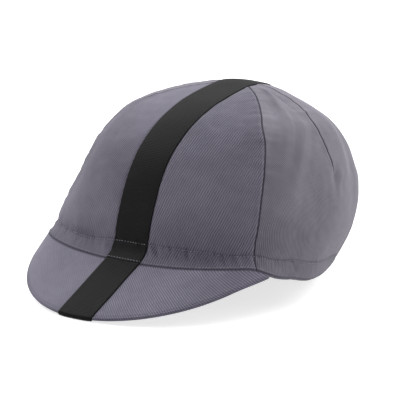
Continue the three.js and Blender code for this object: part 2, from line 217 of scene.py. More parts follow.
# Ribs of each piece's twill: slant in degrees, pitch as a share of the cap's, and contrast
LEFT_RIBS = (-19, 1.0, 0.62)
RIGHT_RIBS = (-12, 1.0, 0.3)
REAR_RIBS = (22, 0.85, 0.3)
HEM_RIBS = (-24, 1.0, 0.4)
BRIM_RIBS = (45, 0.8, 0.55)
FLOATS_PER_RIB = 2.6

# Sizes in the cloth's colour, in metres: broad patches, slubs and fibres of the yarn, and how far
# the ribs wander off their lines over long and short stretches, in ribs
PATCH = 0.03
SLUB = 0.006
FIBRE = 0.0006
LONG_DRIFT = (0.022, 1.1)
SHORT_DRIFT = (0.005, 0.6)

# Spacing of the tape's ribs and warp and of the thread's twist, in metres
TAPE_RIB = 0.0011
TAPE_WARP = 0.0007
THREAD_TWIST = 0.0004

# Distances across the tape from one side to its middle
TAPE_SIDES = np.array([0, 0.2, 0.5, 0.9, 1.4, 2.2, 3.4, 5, 7, 9, 11, 12.5])

# Softboxes: azimuth to the right of the picture's back, elevation, distance and size
SOFTBOXES = (
    ("left_box", -90, 28, 1.7, 1.5),
    ("left_back_box", -48, 44, 1.7, 1.5),
    ("right_box", 90, 28, 1.7, 1.5),
    ("right_back_box", 48, 44, 1.7, 1.5),
    ("top_box", 0, 84, 1.7, 1.6),
    ("left_front_box", -138, 35, 1.7, 1.5),
)
FLOOR_REACH = 4.0
FLOOR_DROP = 0.0004

# Camera that took the photo, found from the cap's outline
VIEW_AZIMUTH = 35.341
VIEW_ELEVATION = 11.326
VIEW_ROLL = 1.838
PIXELS_PER_MM = 1.617
VIEW_DISTANCE = 1761.9
VIEW_CENTRE = (206.70, 187.08)
VIEW_TARGET_HEIGHT = 60.0
IMAGE_SIDE = 400
SENSOR_WIDTH = 36.0


def monotone(table, column=1, flat_ends=False):
    """Smooth curve through a table's first column and another one, which never overshoots a row."""
    x = np.array([entry[0] for entry in table], float)
    y = np.array([entry[column] for entry in table], float)
    steps = np.diff(x)
    rates = np.diff(y) / steps
    slopes = np.zeros(len(x))
    for i in range(1, len(steps)):
        if rates[i - 1] * rates[i] > 0:
            before = 2 * steps[i] + steps[i - 1]
            after = steps[i] + 2 * steps[i - 1]
            slopes[i] = (before + after) / (before / rates[i - 1] + after / rates[i])
    if not flat_ends:
        for end, near, far in ((0, 0, 1), (-1, -1, -2)):
            slope = (2 * steps[near] + steps[far]) * rates[near] - steps[near] * rates[far]
            slope /= steps[near] + steps[far]
            slopes[end] = slope if slope * rates[near] > 0 else 0.0

    def at(place):
        place = np.clip(place, x[0], x[-1])
        i = np.clip(np.searchsorted(x, place, side="right") - 1, 0, len(steps) - 1)
        t = (place - x[i]) / steps[i]
        rest = 1 - t
        value = y[i] * rest * rest * (1 + 2 * t) + y[i + 1] * t * t * (3 - 2 * t)
        return value + steps[i] * t * rest * (slopes[i] * rest - slopes[i + 1] * t)

    return at


rise_at = monotone(SECTIONS, 1)
front_at = monotone(SECTIONS, 2)
rear_at = monotone(SECTIONS, 3)
side_at = monotone(SECTIONS, 4)
round_at = monotone(SECTIONS, 5)
lift_at = monotone(HEM_LINE, flat_ends=True)
seam_at = monotone(SIDE_SEAM)
dart_at = monotone(DART)
stitch_row_at = monotone(HEM_STITCH_ROW)
puckered_at = monotone(PUCKERED)


def blend(a, b, share):
    return a + (b - a) * share


def signed_power(value, power):
    return np.sign(value) * np.abs(value) ** power


def ridge(distance, breadth):
    """Soft bump across a line, from 1 on it to 0 beside it."""
    return np.exp(-((distance / breadth) ** 2))


def smooth_step(value, low, high):
    t = np.clip((value - low) / (high - low), 0, 1)
    return t * t * (3 - 2 * t)


def unit(vectors):
    return vectors / np.maximum(np.linalg.norm(vectors, axis=-1, keepdims=True), 1e-9)


def crown_form(angle, row):
    """Points on the smooth outside of the crown, in millimetres."""
    angle, row = np.broadcast_arrays(np.asarray(angle, float), np.asarray(row, float))
    rise = rise_at(row)
    sine, cosine = np.sin(np.radians(angle)), np.cos(np.radians(angle))
    ahead = cosine > 0
    along = np.where(ahead, blend(FRONT_ROUNDNESS_ALONG, 2, rise), round_at(row))
    across = np.where(ahead, blend(FRONT_ROUNDNESS_ACROSS, 2, rise), round_at(row))
    middle = blend(-WIDEST_LEAD, APEX_SETBACK, rise)
    front = APEX_SETBACK - (HEM_FRONT_REACH + APEX_SETBACK) * front_at(row)
    rear = APEX_SETBACK + (HEM_REAR_REACH - APEX_SETBACK) * rear_at(row)
    reach = np.where(ahead, middle - front, rear - middle)
    x = HEM_HALF_WIDTH * side_at(row) * signed_power(sine, 2 / across)
    y = middle - reach * signed_power(cosine, 2 / along) + CENTRED
    z = blend(HEM_FRONT_HEIGHT * lift_at(np.abs(angle)), CROWN_HEIGHT, rise)
    return np.stack([x, y, z], -1)


def crown_normal(angle, row):
    angle, row = np.broadcast_arrays(np.asarray(angle, float), np.asarray(row, float))
    low, high = np.maximum(row - 0.01, 0), np.minimum(row + 0.01, APEX_ROW - 0.06)
    low = np.minimum(low, APEX_ROW - 0.1)
    place = np.minimum(row, APEX_ROW - 0.08)
    around = crown_form(angle + 0.25, place) - crown_form(angle - 0.25, place)
    upward = crown_form(angle, high) - crown_form(angle, low)
    normal = unit(np.cross(around, upward))
    dome = smooth_step(row, APEX_ROW - 0.5, APEX_ROW - 0.12)[..., None]
    return unit(blend(normal, np.array([0.0, 0.0, 1.0]), dome))


def fold_relief(angle, row, folds):
    """Height of folds above the smooth crown, in millimetres."""
    per_degree = math.radians(HEM_HALF_WIDTH)
    per_row = CROWN_HEIGHT / APEX_ROW
    relief = np.zeros(np.shape(angle))
    for start, start_row, to_angle, to_row, breadth, depth in folds:
        run = np.array([(to_angle - start) * per_degree, (to_row - start_row) * per_row])
        away_x = (angle - start) * per_degree
        away_y = (row - start_row) * per_row
        share = np.clip((away_x * run[0] + away_y * run[1]) / (run @ run), 0, 1)
        distance = np.hypot(away_x - share * run[0], away_y - share * run[1])
        relief += depth * FOLD_DEPTH * ridge(distance, breadth * FOLD_BREADTH)
    return relief


def waves(points, shortest, longest, seed):
    """Gentle random swell over points, from -1 to 1, the same on each run."""
    rng = np.random.default_rng(seed)
    total = np.zeros(points.shape[:-1])
    for _ in range(9):
        direction = unit(rng.normal(size=3))
        length = rng.uniform(shortest, longest)
        total += np.sin(points @ direction * (2 * math.pi / length) + rng.uniform(0, 2 * math.pi))
    return total / 4.5


def ripple(along, length, seed):
    """Uneven waves of puckered cloth along a seam, from -1 to 1."""
    rng = np.random.default_rng(seed)
    total = np.zeros(np.shape(along))
    for share in (0.62, 0.83, 1.0, 1.27, 1.7):
        total += np.sin(along * (2 * math.pi / (length * share)) + rng.uniform(0, 2 * math.pi))
    return total / 2.6


def slack(row):
    """How loosely the cloth lies by row: not at all at the hem and the apex."""
    return smooth_step(row, 0.0, 0.9) * (1 - smooth_step(row, 6.8, 7.6))


def soft_relief(points, angle, row):
    """Folds, creases and a gentle swell of the cloth, in millimetres."""
    relief = fold_relief(angle, row, FOLDS) + fold_relief(angle, row, CREASES)
    relief += SWELL * waves(points, 26, 60, 4) * slack(row)
    return relief + FINE_SWELL * waves(points, 9, 17, 11) * slack(row)


def keep_above(height, *layers):
    """Lift points in millimetres that lie below a height."""
    for layer in layers:
        layer[..., 2] = np.maximum(layer[..., 2], height)


def rolled_edge(distance, width, depth):
    """Dip of a folded edge by distance from it, a quarter round."""
    share = np.clip(1 - distance / width, 0, 1)
    return -depth * (1 - np.sqrt(1 - share * share))


class ClothGrid:
    """Columns and rows of places on the crown between two seams.

    angle and row are places on the crown, points and normals are there in space, across and up
    are distances over the cloth in millimetres, and aside is the distance from a marked line.
    """

    EDGE = np.array([0, 0.18, 0.4, 0.7, 1.05, 1.5, 2.1, 2.9, 3.9])
    AHEAD_OF_MARK = 0.34

    def __init__(self, left, right, columns, rows, mark=None):
        reference = np.linspace(0, PANEL_TOP_ROW, 900)
        middle = (left(reference) + right(reference)) / 2
        climb = self.lengths(crown_form(middle, reference)[None])[0]
        even = np.linspace(self.EDGE[-1], climb[-1], rows)
        row = np.interp(np.concatenate([self.EDGE[:-1], even]), climb, reference)
        dense = np.linspace(0, 1, 420)[:, None]
        angles = blend(left(row), right(row), dense)
        spans = self.lengths(crown_form(angles, row).transpose(1, 0, 2)).T
        width = spans[-1]
        line = None if mark is None else self.find(mark(row), angles, spans)
        places = self.spread(width, columns, line)
        self.angle = np.stack([
            np.interp(places[:, j], spans[:, j], angles[:, j]) for j in range(len(row))], 1)
        self.row = np.broadcast_to(row, self.angle.shape)
        self.points = crown_form(self.angle, self.row)
        self.normals = crown_normal(self.angle, self.row)
        self.up = self.lengths(self.points)
        self.from_left = places
        self.from_right = width - places
        self.across = places - width / 2
        if mark is not None:
            self.aside = places - line

    @staticmethod
    def lengths(lines):
        """Distances along each line of points from its first one."""
        steps = np.linalg.norm(np.diff(lines, axis=1), axis=-1)
        return np.concatenate([np.zeros((len(lines), 1)), np.cumsum(steps, 1)], 1)

    @staticmethod
    def find(marks, angles, spans):
        """Distances across each row at which a line's angles lie."""
        order = 1 if angles[-1, 0] > angles[0, 0] else -1
        columns = zip(marks, angles.T, spans.T)
        return np.array([np.interp(order * mark, order * at, span) for mark, at, span in columns])

    def spread(self, width, columns, line):
        """Places across each row: close together at the seams and at the marked line."""
        fit = np.minimum(1, width / 26)
        near = GAP / 2 + self.EDGE[:, None] * fit
        far = width - near[::-1]
        if line is None:
            inner = blend(near[-1], far[0], np.linspace(0, 1, columns)[1:-1, None])
            return np.concatenate([near, inner, far])
        room = np.minimum(np.minimum(line, width - line) / 10, 1)
        beside = np.concatenate([-self.EDGE[:0:-1], self.EDGE])[:, None] * room + line
        ahead = int(columns * self.AHEAD_OF_MARK)
        before = blend(near[-1], beside[0], np.linspace(0, 1, ahead)[1:-1, None])
        after = blend(beside[-1], far[0], np.linspace(0, 1, columns - ahead)[1:-1, None])
        return np.concatenate([near, before, beside, after, far])


def mesh_object(name, verts, faces, cloth=None, tone=None, material=None):
    """Object of a mesh in metres, with the cloth's own coordinates and its painted light and shade
    from -1 to 1.
    """
    mesh = bpy.data.meshes.new(name)
    mesh.vertices.add(len(verts))
    mesh.vertices.foreach_set("co", np.asarray(verts, np.float32).ravel())
    corners = np.asarray(faces, np.int32)
    mesh.loops.add(corners.size)
    mesh.loops.foreach_set("vertex_index", corners.ravel())
    mesh.polygons.add(len(corners))
    starts = np.arange(0, corners.size, corners.shape[1], dtype=np.int32)
    mesh.polygons.foreach_set("loop_start", starts)
    mesh.polygons.foreach_set("use_smooth", np.ones(len(corners), bool))
    mesh.update(calc_edges=True)
    if cloth is not None:
        layer = mesh.uv_layers.new(name="cloth")
        layer.data.foreach_set("uv", np.asarray(cloth, np.float32).ravel())
    if tone is not None:
        mesh.attributes.new("tone", "FLOAT", "POINT").data.foreach_set(
            "value", np.asarray(tone, np.float32).ravel())
    mesh.validate()
    obj = bpy.data.objects.new(name, mesh)
    bpy.context.collection.objects.link(obj)
    if material is not None:
        mesh.materials.append(material)
    return obj


def shell(name, outer, inner, across, up, tone=None, material=None, ring=False):
    """Closed sheet between two grids, whose columns run to the right and whose rows run up."""
    columns, rows = outer.shape[:2]
    count = columns * rows
    corner = np.arange((columns + ring) * rows).reshape(-1, rows)
    left, right = corner[:-1], corner[1:]
    sheets = [
        (left[:, :-1], right[:, :-1], right[:, 1:], left[:, 1:], (0, 0, 0, 0)),
        (left[:, :-1], left[:, 1:], right[:, 1:], right[:, :-1], (1, 1, 1, 1)),
        (left[:, 0], left[:, 0], right[:, 0], right[:, 0], (0, 1, 1, 0)),
        (left[:, -1], right[:, -1], right[:, -1], left[:, -1], (0, 0, 1, 1)),
    ]
    if not ring:
        first, last = corner[0], corner[-1]
        sheets.append((first[:-1], first[1:], first[1:], first[:-1], (0, 0, 1, 1)))
        sheets.append((last[:-1], last[:-1], last[1:], last[1:], (0, 1, 1, 0)))
    faces, corners = [], []
    for *quad, layers in sheets:
        quad = np.stack([side.ravel() for side in quad], 1)
        faces.append(quad % count + np.array(layers) * count)
        corners.append(quad)
    corners = np.concatenate(corners)
    cloth = np.stack([across.ravel()[corners], up.ravel()[corners]], -1) * MM
    verts = np.concatenate([outer.reshape(-1, 3), inner.reshape(-1, 3)]) * MM
    if tone is not None:
        tone = np.concatenate([tone.ravel(), np.zeros(count)])
    return mesh_object(name, verts, np.concatenate(faces), cloth, tone, material)


class Value:
    """A shader value or colour, on which Python's operators add Math nodes."""

    def __init__(self, surface, socket):
        self.surface = surface
        self.socket = socket

    def math(self, operation, *operands):
        inputs = dict(enumerate(operands))
        return self.surface.node("ShaderNodeMath", {"operation": operation}, inputs)

    def __add__(self, other):
        return self.math("ADD", self, other)

    __radd__ = __add__

    def __sub__(self, other):
        return self.math("SUBTRACT", self, other)

    def __rsub__(self, other):
        return self.math("SUBTRACT", other, self)

    def __mul__(self, other):
        return self.math("MULTIPLY", self, other)

    __rmul__ = __mul__

    def wave(self):
        """From 0 to 1 and back for each whole step of the value."""
        return self.math("SINE", self * (2 * math.pi)) * 0.5 + 0.5

    def clamped(self):
        return self.math("MINIMUM", self.math("MAXIMUM", self, 0.0), 1.0)


class Surface:
    """A material and the one way in which its nodes are made."""

    def __init__(self, name):
        self.material = bpy.data.materials.new(name)
        self.material.use_nodes = True
        self.tree = self.material.node_tree
        self.tree.nodes.clear()

    def node(self, kind, settings, inputs, output=0):
        node = self.tree.nodes.new(kind)
        for key, value in settings.items():
            setattr(node, key, value)
        for key, value in inputs.items():
            if isinstance(value, Value):
                self.tree.links.new(value.socket, node.inputs[key])
            else:
                node.inputs[key].default_value = value
        return Value(self, node.outputs[output])

    def cloth(self):
        """The cloth's own coordinates: their vector, then across and up, in metres."""
        place = self.node("ShaderNodeUVMap", {"uv_map": "cloth"}, {})
        across = self.node("ShaderNodeSeparateXYZ", {}, {0: place}, "X")
        up = self.node("ShaderNodeSeparateXYZ", {}, {0: place}, "Y")
        return place, across, up

    def noise(self, place, size, detail=2.0):
        inputs = {"Vector": place, "Scale": 1 / size, "Detail": detail}
        return self.node("ShaderNodeTexNoise", {"noise_dimensions": "3D"}, inputs, "Fac")

    # Painted light and shade that the mesh carries, from -1 to 1
    def tone(self):
        return self.node("ShaderNodeAttribute", {"attribute_name": "tone"}, {}, "Fac")

    def mixed(self, share, dark, light):
        """Colour between two colours."""
        settings = {"data_type": "RGBA", "clamp_factor": True}
        inputs = {0: share, 6: dark, 7: light}
        return self.node("ShaderNodeMix", settings, inputs, 2)

    def finish(self, colour, roughness, height, depth, strength, constants):
        """The material, from what changes over it and from constants by socket."""
        bumps = {"Height": height, "Distance": depth, "Strength": strength}
        bump = self.node("ShaderNodeBump", {}, bumps, "Normal")
        inputs = {"Base Color": colour, "Roughness": roughness, "Normal": bump, **constants}
        self.output(self.node("ShaderNodeBsdfPrincipled", {}, inputs))
        return self.material

    def output(self, shader):
        output = self.tree.nodes.new("ShaderNodeOutputMaterial")
        self.tree.links.new(shader.socket, output.inputs["Surface"])


def shade(colour, factor):
    return tinted(colour, (factor, factor, factor))


def tinted(colour, factors):
    return tuple(min(channel * factor, 1.0) for channel, factor in zip(colour, factors)) + (1.0,)


def fuzz(sheen, roughness, grey, gloss):
    """Constants of a fuzzy cloth: weight, roughness and grey of its sheen, and its gloss."""
    return {
        "Sheen Weight": sheen,
        "Sheen Roughness": roughness,
        "Sheen Tint": (grey, grey, grey, 1.0),
        "Specular IOR Level": gloss,
    }


def twill(name, colour, ribs, cloth, faint_side=False):
    """Matte cotton twill: slanted ribs of short yarn floats, soft mottling and a fuzzy sheen.

    With faint_side, the ribs show less on the wearer's right, where the cloth's nap lies over them.
    """
    slant, pitch_share, contrast = ribs
    pitch = cloth.rib_pitch * pitch_share
    surface = Surface(name)
    place, across, up = surface.cloth()
    long_drift, short_drift = (
        surface.noise(place, size) * drift for size, drift in (LONG_DRIFT, SHORT_DRIFT))
    lean = math.radians(slant)
    over_ribs = across * math.cos(lean) + up * math.sin(lean)
    along_ribs = up * math.cos(lean) - across * math.sin(lean)
    phase = over_ribs * (1 / pitch) + (long_drift + short_drift)
    rib = phase.wave()
    floats = (along_ribs * (FLOATS_PER_RIB / pitch) + phase * 0.5).wave()
    fibre = surface.noise(place, FIBRE, 3.0)
    patch = surface.noise(place, PATCH, 3.0)
    slub = surface.noise(place, SLUB)
    height = rib * 0.75 + rib * floats * 0.25 + fibre * 0.25
    weave = (rib * 0.75 + rib * floats * 0.5 - 0.5) * (patch * 1.6 + 0.2) * contrast
    if faint_side:
        weave = weave * ((across * 60 + 0.5).clamped() * 0.75 + 0.25)
    mottle = (patch - 0.5) * 0.45 + (slub - 0.5) * 0.2 + (fibre - 0.5) * 0.2
    # Weave and mottling, plus the mesh's painted light and shade
    share = (weave + mottle + surface.tone() + 0.5).clamped()
    tint = surface.mixed(share, tinted(colour, DARK_YARN_AND_PAINTED_SHADE), tinted(colour, LIGHT_YARN_AND_PAINTED_LIGHT))
    constants = fuzz(cloth.sheen, 0.45, 0.42, 0.1)
    return surface.finish(tint, 0.92 - slub * 0.08, height, cloth.rib_depth, 0.55, constants)


def woven_tape(name, colour, cloth):
    """Dense dark tape: fine ribs across its width and a faint sheen."""
    surface = Surface(name)
    place, across, up = surface.cloth()
    drift = surface.noise(place, 0.01) * 0.3
    rib = (up * (1 / TAPE_RIB) + drift).wave()
    warp = (across * (1 / TAPE_WARP)).wave()
    fibre = surface.noise(place, 0.0007, 3.0)
    patch = surface.noise(place, 0.025)
    height = rib * 0.6 + warp * rib * 0.3 + fibre * 0.3
    mottle = (rib - 0.5) * 0.3 + (fibre - 0.5) * 0.5 + (patch - 0.5) * 0.8
    # Mottling, plus the mesh's painted light and shade
    share = (mottle + surface.tone() + 0.5).clamped()
    tint = surface.mixed(share, shade(colour, 0.4), shade(colour, 2.4))
    constants = fuzz(cloth.tape_sheen, 0.35, 0.6, 0.085)
    return surface.finish(tint, 0.62 + patch * 0.16, height, cloth.rib_depth * 0.7, 0.5, constants)


def thread(name, colour):
    """Twisted sewing thread."""
    surface = Surface(name)
    place, across, up = surface.cloth()
    twist = ((across + up) * (1 / THREAD_TWIST)).wave()
    fibre = surface.noise(place, 0.0005)
    tint = surface.mixed(twist * 0.5 + fibre * 0.5, shade(colour, 0.75), shade(colour, 1.2))
    constants = {"Sheen Weight": 0.2, "Specular IOR Level": 0.3}
    return surface.finish(tint, 0.75 - fibre * 0.1, twist, 0.0001, 0.5, constants)


def power_property(label, side, default):
    return FloatProperty(
        name=label, description="Light from " + side, unit="POWER", min=0, max=900, default=default)


def colour_property(label, description, default):
    return FloatVectorProperty(
        name=label, description=description, subtype="COLOR", size=3, min=0, max=1, default=default)


def length_property(label, description, low, high, default):
    return FloatProperty(
        name=label, description=description, unit="LENGTH", precision=5, min=low, max=high,
        default=default)


def factor_property(label, description, default):
    return FloatProperty(
        name=label, description=description, subtype="FACTOR", min=0, max=1, default=default)


class CapCloth(PropertyGroup):
    """Colours and weave of the cap's cloth, tape and thread."""

    twill_colour: colour_property("Twill", "Colour of the cap's cloth", (0.104, 0.096, 0.133))
    tape_colour: colour_property("Tape", "Colour of the woven tape", (0.0029, 0.0029, 0.0031))
    thread_colour: colour_property("Thread", "Colour of the sewing thread", (0.142, 0.134, 0.158))
    rib_pitch: length_property("Rib Pitch", "Distance between ribs", 0.0005, 0.01, 0.0015)
    rib_depth: length_property("Rib Depth", "Height of the ribs", 0, 0.002, 0.00028)
    sheen: factor_property("Sheen", "Fuzz of the brushed cotton", 0.3)
    tape_sheen: factor_property("Tape Sheen", "Faint gloss of the tape", 0.13)


class CapSewing(PropertyGroup):
    """Sizes of the cap's seams and stitches."""

    seam_roll: length_property("Seam Roll", "Width of a seam's rounded side", 0.0002, 0.004, 0.0007)
    seam_sink: length_property("Seam Sink", "Depth of a seam below the cloth", 0, 0.0011, 0.0007)
    pucker: length_property("Pucker", "Height of the puckers at the seams", 0, 0.002, 0.0005)
    stitch_length: length_property("Stitch Length", "Length of a stitch", 0.001, 0.006, 0.0014)
    stitch_step: length_property("Stitch Step", "Distance between stitches", 0.001, 0.008, 0.0021)
    thread_width: length_property("Thread Width", "Thickness of the thread", 0.0001, 0.001, 0.0005)


class CapStudio(PropertyGroup):
    """Floor and light round the cap."""

    floor_colour: colour_property("Floor", "Colour of the floor", (0.54, 0.54, 0.54))
    floor_glow: FloatProperty(
        name="Floor Glow", description="Light of the floor", min=0, max=2, default=0.72)
    ambient: FloatProperty(
        name="Room Light", description="Even light from all round", min=0, max=4, default=0.03)
    left_box: power_property("Left", "the picture's left", 6.5)
    left_back_box: power_property("Left Back", "the picture's left and back", 27)
    right_box: power_property("Right", "the picture's right", 17)
    right_back_box: power_property("Right Back", "the picture's right and back", 30)
    top_box: power_property("Top", "above", 17)
    left_front_box: power_property("Left Front", "the picture's left and front", 8)


def hem_relief(up, angle, sewing):
    """Pinch of the two stitch rows and puckers of the hem, in millimetres."""
    around = around_hem(angle)
    above = up - stitch_row_at(angle)
    slanted = around + 0.55 * up
    pinch = -0.45 * ridge(above, 0.8) - 0.15 * ridge(up - EDGE_STITCH_ROW, 0.7)
    puckers = 0.9 * ridge(above, 3.0) * ripple(slanted, 6.5, 21)
    puckers = puckers + 0.8 * ridge(above + 4.5, 3.6) * ripple(slanted, 5.6, 22)
    dimples = 0.35 * ridge(above - 4, 4.5) * ripple(around, 17, 23)
    turned = 0.3 * (1 - smooth_step(above, -0.8, 1.6))
    return pinch + turned + sewing.pucker / MM * puckered_at(angle) * (puckers + dimples)


def hem_painted_shade(up, angle):
    """Painted shade: darker cloth at the rows of stitches, in a band above them on the wearer's
    right, in the hem's hollows, on the doubled hem and at its folded edge.
    """
    above = up - stitch_row_at(angle)
    row = -0.24 * ridge(above - 0.4, 0.8) - 0.2 * ridge(above - 2.5, 2.2) * ridge(angle + 32, 14)
    hollows = smooth_step(ripple(around_hem(angle) + 0.8 * up, 9.5, 24), -0.3, 0.9)
    row = row - 0.17 * puckered_at(angle) * ridge(above + 3, 3.4) * hollows
    return row - 0.06 * (1 - smooth_step(above, -1, 1)) - 0.8 * ridge(up, 0.5)


def around_hem(angle):
    """Distance round the hem from its front, in millimetres."""
    return np.radians(angle) * HEM_HALF_WIDTH


def seam_relief(distance, up, sewing, seed):
    """Rounded edge and puckers of a seam by distance from it, in millimetres."""
    roll = rolled_edge(distance, sewing.seam_roll / MM, sewing.seam_sink / MM)
    lip = 0.2 * ridge(distance - 1.9, 1.2)
    fade = np.exp(-distance / 6.0) * (1 - np.exp(-distance / 0.8))
    return roll + lip + sewing.pucker / MM * 0.6 * fade * ripple(up, 9.0, seed)


def seam_painted_shading(distance):
    """Painted shade in the seam and a painted highlight on the rolled edge beside it."""
    return 0.12 * ridge(distance - 1.1, 0.5) - 1.6 * ridge(distance, 0.4)


def dart_sink(row):
    """How far the dart is sewn in by row, from 0 below its end to 1 above it."""
    return smooth_step(row, DART_END_ROW, DART_END_ROW + DART_FADE_ROWS)


def make_panel(side, lines, seeds, light_by_row, sewing, material, mark):
    """A crown panel between its left and right lines: light_by_row is the painted light and shade
    on its cloth by row.
    """
    grid = ClothGrid(*lines, *(FRONT_GRID if mark is None else REAR_GRID), mark)
    soft = soft_relief(grid.points, grid.angle, grid.row)
    relief = soft + hem_relief(grid.up, grid.angle, sewing) + rolled_edge(grid.up, 1.0, 0.75)
    beside_tape = np.abs(grid.points[..., 0]) - TAPE_WIDTH / 2
    relief = relief - TAPE_SINK * (1 - smooth_step(beside_tape, 0, 1.2))
    # Painted shade of the hem, and painted light and shade by row
    tone = hem_painted_shade(grid.up, grid.angle) + monotone(light_by_row)(grid.row)
    # Painted light on the cloth that faces back
    tone = tone + PAINTED_BACK_LIGHT * smooth_step(np.abs(grid.angle), 92, 116)
    for distance, seed in zip((grid.from_left, grid.from_right), seeds):
        relief = relief + seam_relief(distance, grid.up, sewing, seed)
        tone = tone + seam_painted_shading(distance)
    if mark is not None:
        sunk = dart_sink(grid.row)
        distance = np.abs(grid.aside)
        relief = relief + sunk * seam_relief(distance, grid.up, sewing, DART_SEED)
        # Painted shade along the dart, darker than at the seams
        tone = tone + sunk * (seam_painted_shading(distance) - 1.2 * ridge(distance, 0.6))
    outer = grid.points + grid.normals * relief[..., None]
    inner = grid.points + grid.normals * (soft - TAPE_SINK - PANEL_CLOTH)[..., None]
    keep_above(0.0, outer, inner)
    obj = shell("panel_" + side, outer, inner, grid.across, grid.up, tone, material)
    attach(obj, "root")
    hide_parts("crown_" + side)


def minus(line):
    """The same line on the wearer's right."""
    return lambda row: -line(row)


def constant(value):
    """A line that stays at one value."""
    return lambda place: np.full(np.shape(place), float(value))


class CAP_OT_crown(Operator):
    """Make the four twill panels of the crown"""

    bl_idname = "cap.crown"
    bl_label = "Crown Panels"
    bl_options = {"REGISTER", "UNDO"}

    def execute(self, context):
        cloth, sewing = context.scene.cap_cloth, context.scene.cap_sewing
        left = twill("panel_twill_left", cloth.twill_colour, LEFT_RIBS, cloth)
        right = twill("panel_twill_right", cloth.twill_colour, RIGHT_RIBS, cloth)
        # Painted light: the rear panels' twill is a lighter copy of the front panels' twill
        rear = twill("panel_twill_rear", tinted(cloth.twill_colour, REAR_PAINTED_LIGHT), REAR_RIBS, cloth)
        front, back = constant(0), constant(180)
        right_seam, right_dart = minus(seam_at), minus(dart_at)
        front_left = MIDDLE_SEED, LEFT_SEED
        front_right = RIGHT_SEED, MIDDLE_SEED
        rear_left = LEFT_SEED, BACK_SEED
        rear_right = BACK_SEED, RIGHT_SEED
        jobs = (
            ("front_left", front, seam_at, front_left, PAINTED_LIGHT_BY_ROW_FRONT_LEFT, left, None),
            ("front_right", right_seam, front, front_right, PAINTED_LIGHT_BY_ROW_FRONT_RIGHT, right, None),
            ("rear_left", seam_at, back, rear_left, PAINTED_LIGHT_BY_ROW_REAR, rear, dart_at),
            ("rear_right", minus(back), right_seam, rear_right, PAINTED_LIGHT_BY_ROW_REAR, rear, right_dart),
        )
        for side, *lines, seeds, light_by_row, material, mark in jobs:
            make_panel(side, lines, seeds, light_by_row, sewing, material, mark)
        return {"FINISHED"}


def hem_ring(angle, distance):
    """Rows at a distance up the crown from the hem, for each angle."""
    rows = np.linspace(0, 2.0, 160)
    climb = ClothGrid.lengths(crown_form(angle[:, None], rows[None]))
    distance = np.broadcast_to(distance, (len(angle), np.shape(distance)[-1]))
    return np.array([np.interp(distance[i], climb[i], rows) for i in range(len(angle))])


class CAP_OT_hem(Operator):
    """Make the turned-up layer inside the hem"""

    bl_idname = "cap.hem"
    bl_label = "Hem Band"
    bl_options = {"REGISTER", "UNDO"}

    def execute(self, context):
        cloth, sewing = context.scene.cap_cloth, context.scene.cap_sewing
        material = twill("hem_twill", shade(cloth.twill_colour, 0.85), HEM_RIBS, cloth)
        angle = np.linspace(-180, 180, 361)[:-1]
        heights = np.array([0, 0.3, 0.8, 1.5, 2.8, 4.5, 6.5, 8.5, 10.5, 12.5, 13.7, 14.2, HEM_TURN])
        rows = hem_ring(angle, heights)
        angles = np.broadcast_to(angle[:, None], rows.shape)
        points, normals = crown_form(angles, rows), crown_normal(angles, rows)
        soft = soft_relief(points, angles, rows)
        up = np.broadcast_to(heights, rows.shape)
        ends = rolled_edge(up, 0.9, 0.35) + rolled_edge(HEM_TURN - up, 0.9, 0.35)
        wavy = 0.12 * ripple(around_hem(angles), 8.0, 41)
        outside = -PANEL_CLOTH - TAPE_SINK - 0.12
        outer = points + normals * (soft + outside + ends)[..., None]
        inner = points + normals * (soft + outside - 0.8 - ends + wavy)[..., None]
        keep_above(0.1, outer, inner)
        around = np.concatenate([around_hem(angles), around_hem(angles[:1] + 360)])
        height = np.concatenate([up, up[:1]])
        tone = np.zeros(up.shape)
        obj = shell("hem_turned_up", outer, inner, around, height, tone, material, ring=True)
        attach(obj, "root")
        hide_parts("hem_band")
        return {"FINISHED"}


def tape_places(side, ahead, low, count):
    """Angles and rows where the crown stands at a distance to one side, up to its top there."""
    rows = np.linspace(0, APEX_ROW, 4001)
    wide = HEM_HALF_WIDTH * side_at(rows)
    top = rows[np.nonzero(wide >= abs(side))[0][-1]] if side else APEX_ROW - 0.02
    fine = low + (top - low) * np.sin(np.linspace(0, math.pi / 2, count))
    rounded = blend(FRONT_ROUNDNESS_ACROSS, 2, rise_at(fine)) if ahead else round_at(fine)
    ratio = np.clip(abs(side) / (HEM_HALF_WIDTH * side_at(fine)), 0, 1)
    angle = np.degrees(np.arcsin(ratio ** (rounded / 2)))
    angle = angle if ahead else 180 - angle
    return (angle if side >= 0 else -angle), fine


def tape_run(side, stations, rear_low):
    """Angles, rows, points and length of the tape at one side distance, front to back."""
    front_angle, front_row = tape_places(side, True, 0.0, 500)
    rear_angle, rear_row = tape_places(side, False, rear_low, 500)
    angle = np.concatenate([front_angle, rear_angle[::-1]])
    row = np.concatenate([front_row, rear_row[::-1]])
    points = crown_form(angle, row)
    reach = ClothGrid.lengths(points[None])[0]
    places = stations * reach[-1]
    angle, row = (np.interp(places, reach, values) for values in (angle, row))
    return angle, row, along_line(places, reach, points), reach[-1]


def tape_sides():
    """Distances to the left of the tape's middle, close together at its folded sides."""
    return np.concatenate([TAPE_SIDES, TAPE_WIDTH - TAPE_SIDES[-2::-1]]) - TAPE_WIDTH / 2


def grid_normals(points):
    """Outward directions of a grid whose columns run to the right and whose rows run up."""
    return unit(np.cross(np.gradient(points, axis=0), np.gradient(points, axis=1)))


def tape_edges(side, width, depth):
    """Dip of the tape's folded sides by distance from its middle."""
    return rolled_edge(TAPE_WIDTH / 2 - np.abs(side), width, depth)


def tape_painted_light(side):
    """Painted highlight on the tape's folded sides and painted shade where it is sewn down beside
    them.
    """
    inset = TAPE_WIDTH / 2 - np.abs(side)
    return 0.1 * ridge(inset - 0.6, 0.4) - 0.12 * ridge(inset - 1.6, 0.35)


